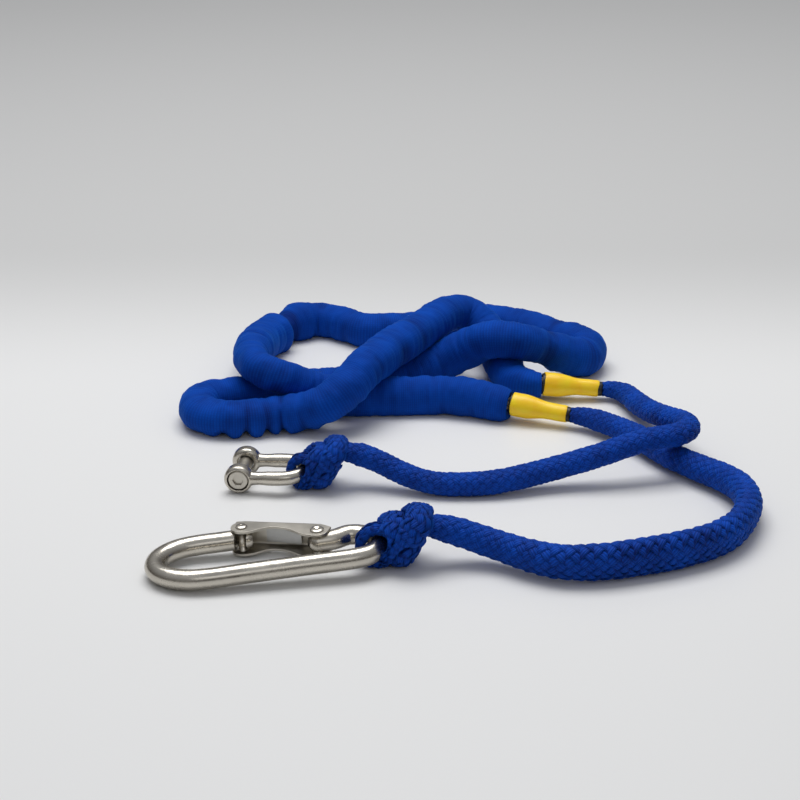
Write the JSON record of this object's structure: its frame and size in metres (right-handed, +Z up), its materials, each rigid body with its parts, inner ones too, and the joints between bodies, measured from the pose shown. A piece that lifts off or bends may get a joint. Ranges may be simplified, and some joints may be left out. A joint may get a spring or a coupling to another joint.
{
  "type": "elastic tether",
  "caption": "Bungee tether laid in loose loops: gathered sleeve over an elastic core, taped braided tails, a snap hook on one end and a D-shackle on the other.",
  "frame": {"origin": "middle of the laid-down outline, on the surface that the tether lies on", "axes": "+Z up from that surface, +Y from the hook end of the layout towards the far loops of the sleeve, +X towards the side where the tails turn back"},
  "size_m": [0.2432, 0.2783, 0.032],
  "materials": {
    "webbing": "royal blue gathered tubular webbing, matt",
    "braid": "royal blue hollow braid, matt with a slight sheen",
    "core_rubber": "natural elastic strands",
    "twine": "waxed twine",
    "black_shrink": "black shrink tube",
    "yellow_shrink": "yellow shrink tube, satin",
    "stainless": "polished stainless steel, satin",
    "sheet_steel": "pressed stainless sheet, satin",
    "spring_steel": "spring steel strip"
  },
  "bodies": {
    "tether": {"bungee_sleeve": "webbing", "bungee_core": "core_rubber", "shackle_end_binding": "twine", "shackle_end_inner_shrink": "black_shrink", "shackle_end_outer_shrink": "yellow_shrink", "hook_end_binding": "twine", "hook_end_inner_shrink": "black_shrink", "hook_end_outer_shrink": "yellow_shrink", "shackle_tail": "braid", "hook_tail": "braid", "hook_eye": "braid", "hook_knot": "braid", "shackle_eye": "braid", "shackle_knot": "braid"},
    "snap_hook": {"hook_body": "stainless"},
    "gate": {"hook_gate": "sheet_steel", "gate_hinge_rivet": "stainless", "gate_latch_pin": "stainless", "gate_spring": "spring_steel"},
    "shackle": {"shackle_bow": "stainless"},
    "pin": {"shackle_pin": "stainless"}
  },
  "joints": [
    {"name": "hook_swing", "type": "hinge", "parent": "tether", "child": "snap_hook", "pos_m": [-0.03298, -0.11206, 0.00833], "axis": [-0.2007, 0.9792, 0.0296], "range_deg": [0, 75]},
    {"name": "gate_open", "type": "hinge", "parent": "snap_hook", "child": "gate", "pos_m": [-0.05594, -0.10949, 0.00746], "axis": [-0.0419, -0.0388, 0.9984], "range_deg": [0, 28], "stiffness_Nm_per_rad": 0.1, "springref_deg": -28.65},
    {"name": "shackle_swing", "type": "hinge", "parent": "tether", "child": "shackle", "pos_m": [-0.06372, -0.04237, 0.00719], "axis": [0.1219, 0.9925, 0], "range_deg": [0, 75]},
    {"name": "pin_out", "type": "slide", "parent": "shackle", "child": "pin", "axis": [-0.1219, -0.9925, 0], "range_m": [0, 0.026]}
  ]
}
